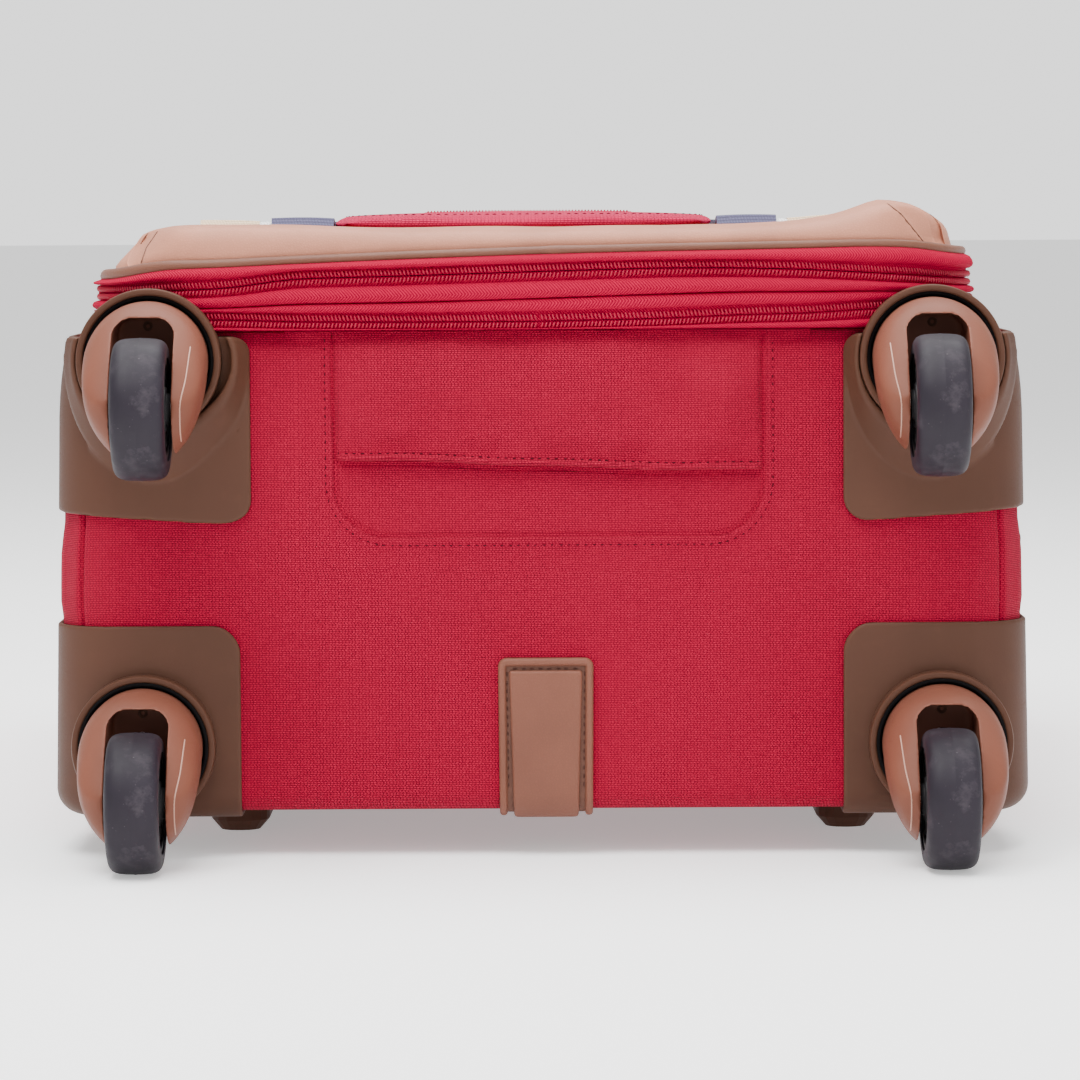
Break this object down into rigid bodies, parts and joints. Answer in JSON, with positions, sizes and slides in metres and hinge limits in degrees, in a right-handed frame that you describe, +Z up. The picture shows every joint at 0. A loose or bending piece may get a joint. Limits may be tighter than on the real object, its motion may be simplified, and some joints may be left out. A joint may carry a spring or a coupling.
{
  "type": "soft-sided suitcase on swivel casters",
  "caption": "Soft-sided red fabric cabin suitcase on swivel casters, lying on its back, with leather-look trim, moulded corner guards, a zipped lid and a telescopic trolley handle.",
  "frame": {"origin": "under the middle of the whole suitcase's box, on the plane that its back's skid rails lie on", "axes": "+Z up, the way the lid faces as the case lies on its back; -Y the way the wheel end faces (down when the case is rolled); +Y the trolley handle's end; +X the side with the side carry handle"},
  "size_m": [0.3674, 0.543, 0.233],
  "materials": {
    "red_fabric": "red polyester, fine diagonal weave",
    "red_tape": "red woven zip tape and binding",
    "front_fabric": "red polyester, padded",
    "lining": "woven lining",
    "tan_leather": "grained synthetic leather",
    "brown_plastic": "moulded, satin",
    "fork_plastic": "moulded, satin",
    "grey_rubber": "moulded rubber",
    "black_plastic": "moulded",
    "webbing": "woven strap in two colours",
    "steel": "plated",
    "zip_metal": "plated",
    "aluminium": "anodised"
  },
  "bodies": {
    "case": {"back_panel": "red_fabric", "bottom_panel": "red_fabric", "top_panel": "red_fabric", "left_panel": "red_fabric", "right_panel": "red_fabric", "case_rim": "red_tape", "lining_floor": "lining", "bottom_pocket": "red_fabric", "leather_tab": "tan_leather", "skid_rail_left": "black_plastic", "skid_rail_right": "black_plastic", "trolley_outer_tube_left": "aluminium", "trolley_outer_tube_right": "aluminium", "trolley_bezel": "brown_plastic", "corner_guard_front_left": "brown_plastic", "caster_collar_front_left": "fork_plastic", "swivel_pin_front_left": "steel", "corner_guard_front_right": "brown_plastic", "caster_collar_front_right": "fork_plastic", "swivel_pin_front_right": "steel", "corner_guard_rear_left": "brown_plastic", "caster_collar_rear_left": "fork_plastic", "swivel_pin_rear_left": "steel", "corner_guard_rear_right": "brown_plastic", "caster_collar_rear_right": "fork_plastic", "swivel_pin_rear_right": "steel"},
    "caster_front_left": {"fork_front_left": "fork_plastic", "axle_front_left": "steel"},
    "wheel_front_left": {"wheel_hub_front_left": "black_plastic", "tyre_front_left": "grey_rubber"},
    "caster_front_right": {"fork_front_right": "fork_plastic", "axle_front_right": "steel"},
    "wheel_front_right": {"wheel_hub_front_right": "black_plastic", "tyre_front_right": "grey_rubber"},
    "caster_rear_left": {"fork_rear_left": "fork_plastic", "axle_rear_left": "steel"},
    "wheel_rear_left": {"wheel_hub_rear_left": "black_plastic", "tyre_rear_left": "grey_rubber"},
    "caster_rear_right": {"fork_rear_right": "fork_plastic", "axle_rear_right": "steel"},
    "wheel_rear_right": {"wheel_hub_rear_right": "black_plastic", "tyre_rear_right": "grey_rubber"},
    "trolley_lower_stage": {"trolley_middle_tube_left": "aluminium", "trolley_middle_tube_right": "aluminium"},
    "trolley_upper_stage": {"trolley_inner_tube_left": "aluminium", "trolley_inner_tube_right": "aluminium", "trolley_grip": "brown_plastic"},
    "button": {"release_button": "black_plastic"},
    "expander": {"expander_band": "red_tape"},
    "lid": {"lid_panel": "front_fabric", "front_trim": "tan_leather", "front_pocket": "front_fabric", "front_strap_left": "webbing", "front_strap_right": "webbing"},
    "main_zip_slider": {"main_slider": "zip_metal"},
    "main_zip_pull": {"main_pull": "zip_metal"},
    "expansion_zip_slider": {"expansion_slider": "zip_metal"},
    "top_carry_handle": {"top_handle": "tan_leather"},
    "side_carry_handle": {"side_handle": "tan_leather"}
  },
  "joints": [
    {"name": "swivel_front_left", "type": "hinge", "parent": "case", "child": "caster_front_left", "pos_m": [-0.14585, -0.21, 0.1807], "axis": [0, 1, 0], "continuous": true},
    {"name": "wheel_spin_front_left", "type": "hinge", "parent": "caster_front_left", "child": "wheel_front_left", "pos_m": [-0.14585, -0.2465, 0.1647], "axis": [1, 0, 0], "continuous": true},
    {"name": "swivel_front_right", "type": "hinge", "parent": "case", "child": "caster_front_right", "pos_m": [0.13515, -0.21, 0.1807], "axis": [0, 1, 0], "continuous": true},
    {"name": "wheel_spin_front_right", "type": "hinge", "parent": "caster_front_right", "child": "wheel_front_right", "pos_m": [0.13515, -0.2465, 0.1647], "axis": [1, 0, 0], "continuous": true},
    {"name": "swivel_rear_left", "type": "hinge", "parent": "case", "child": "caster_rear_left", "pos_m": [-0.14935, -0.21, 0.0413], "axis": [0, 1, 0], "continuous": true},
    {"name": "wheel_spin_rear_left", "type": "hinge", "parent": "caster_rear_left", "child": "wheel_rear_left", "pos_m": [-0.14935, -0.2465, 0.0253], "axis": [1, 0, 0], "continuous": true},
    {"name": "swivel_rear_right", "type": "hinge", "parent": "case", "child": "caster_rear_right", "pos_m": [0.13865, -0.21, 0.0413], "axis": [0, 1, 0], "continuous": true},
    {"name": "wheel_spin_rear_right", "type": "hinge", "parent": "caster_rear_right", "child": "wheel_rear_right", "pos_m": [0.13865, -0.2465, 0.0253], "axis": [1, 0, 0], "continuous": true},
    {"name": "trolley_lower_slide", "type": "slide", "parent": "case", "child": "trolley_lower_stage", "axis": [0, 1, 0], "range_m": [0, 0.21]},
    {"name": "trolley_upper_slide", "type": "slide", "parent": "trolley_lower_stage", "child": "trolley_upper_stage", "axis": [0, 1, 0], "range_m": [0, 0.21]},
    {"name": "release_button_press", "type": "slide", "parent": "trolley_upper_stage", "child": "button", "axis": [0, -1, 0], "range_m": [0, 0.003], "stiffness_N_per_m": 400, "springref_m": -0.001},
    {"name": "expansion_rise", "type": "slide", "parent": "case", "child": "expander", "axis": [0, 0, 1], "range_m": [0, 0.04]},
    {"name": "lid_hinge", "type": "hinge", "parent": "expander", "child": "lid", "pos_m": [-0.17285, 0.0255, 0.2088], "axis": [0, -1, 0], "range_deg": [0, 165]},
    {"name": "main_slider_travel", "type": "slide", "parent": "expander", "child": "main_zip_slider", "axis": [0, 1, 0], "range_m": [-0.26, 0.05]},
    {"name": "main_pull_swing", "type": "hinge", "parent": "main_zip_slider", "child": "main_zip_pull", "pos_m": [0.17065, 0.1535, 0.2088], "axis": [0, -1, 0], "range_deg": [0, 120]},
    {"name": "expansion_slider_travel", "type": "slide", "parent": "case", "child": "expansion_zip_slider", "axis": [1, 0, 0], "range_m": [-0.18, 0.03]},
    {"name": "top_handle_swing", "type": "hinge", "parent": "case", "child": "top_carry_handle", "pos_m": [-0.00535, 0.2655, 0.122], "axis": [1, 0, 0], "range_deg": [0, 110]},
    {"name": "side_handle_swing", "type": "hinge", "parent": "case", "child": "side_carry_handle", "pos_m": [0.17765, 0.0235, 0.104], "axis": [0, -1, 0], "range_deg": [0, 110]}
  ]
}
